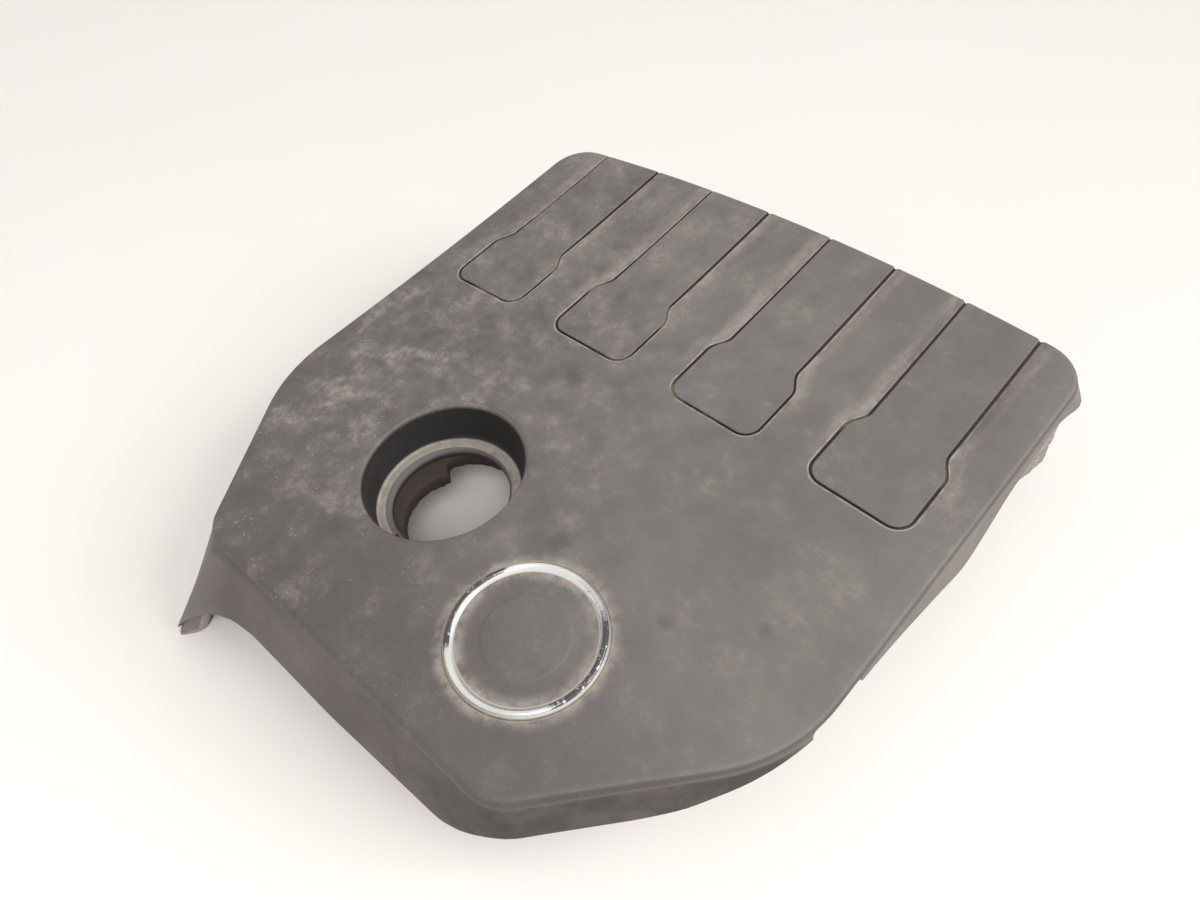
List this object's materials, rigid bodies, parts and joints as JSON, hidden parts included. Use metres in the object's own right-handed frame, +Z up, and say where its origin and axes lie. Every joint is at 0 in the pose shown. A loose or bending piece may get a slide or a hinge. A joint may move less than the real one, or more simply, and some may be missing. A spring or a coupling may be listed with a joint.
{
  "type": "engine cover",
  "caption": "Moulded engine cover with four grooved fingers, an oil filler well, a flared skirt, a blank round badge, an acoustic foam block and four push-on rubber grommets.",
  "frame": {"origin": "in the resting plane, on the symmetry line of the four fingers, which lies within 3 mm of the middle of the cover's bounding box", "axes": "+Z up out of the top, +Y to the rear edge with the fingers, +X to the right seen from the front edge"},
  "size_m": [0.3911, 0.4217, 0.0947],
  "materials": {
    "cover_plastic": "grained, dusty and weathered",
    "foam": "open, fibrous acoustic foam",
    "badge_chrome": "bright bezel with a plain grey middle",
    "grommet_rubber": "satin"
  },
  "bodies": {
    "root": {"cover_shell": "cover_plastic", "acoustic_foam": "foam", "badge": "badge_chrome", "front_left_grommet": "grommet_rubber", "front_right_grommet": "grommet_rubber", "rear_left_grommet": "grommet_rubber", "rear_right_grommet": "grommet_rubber"}
  },
  "joints": []
}
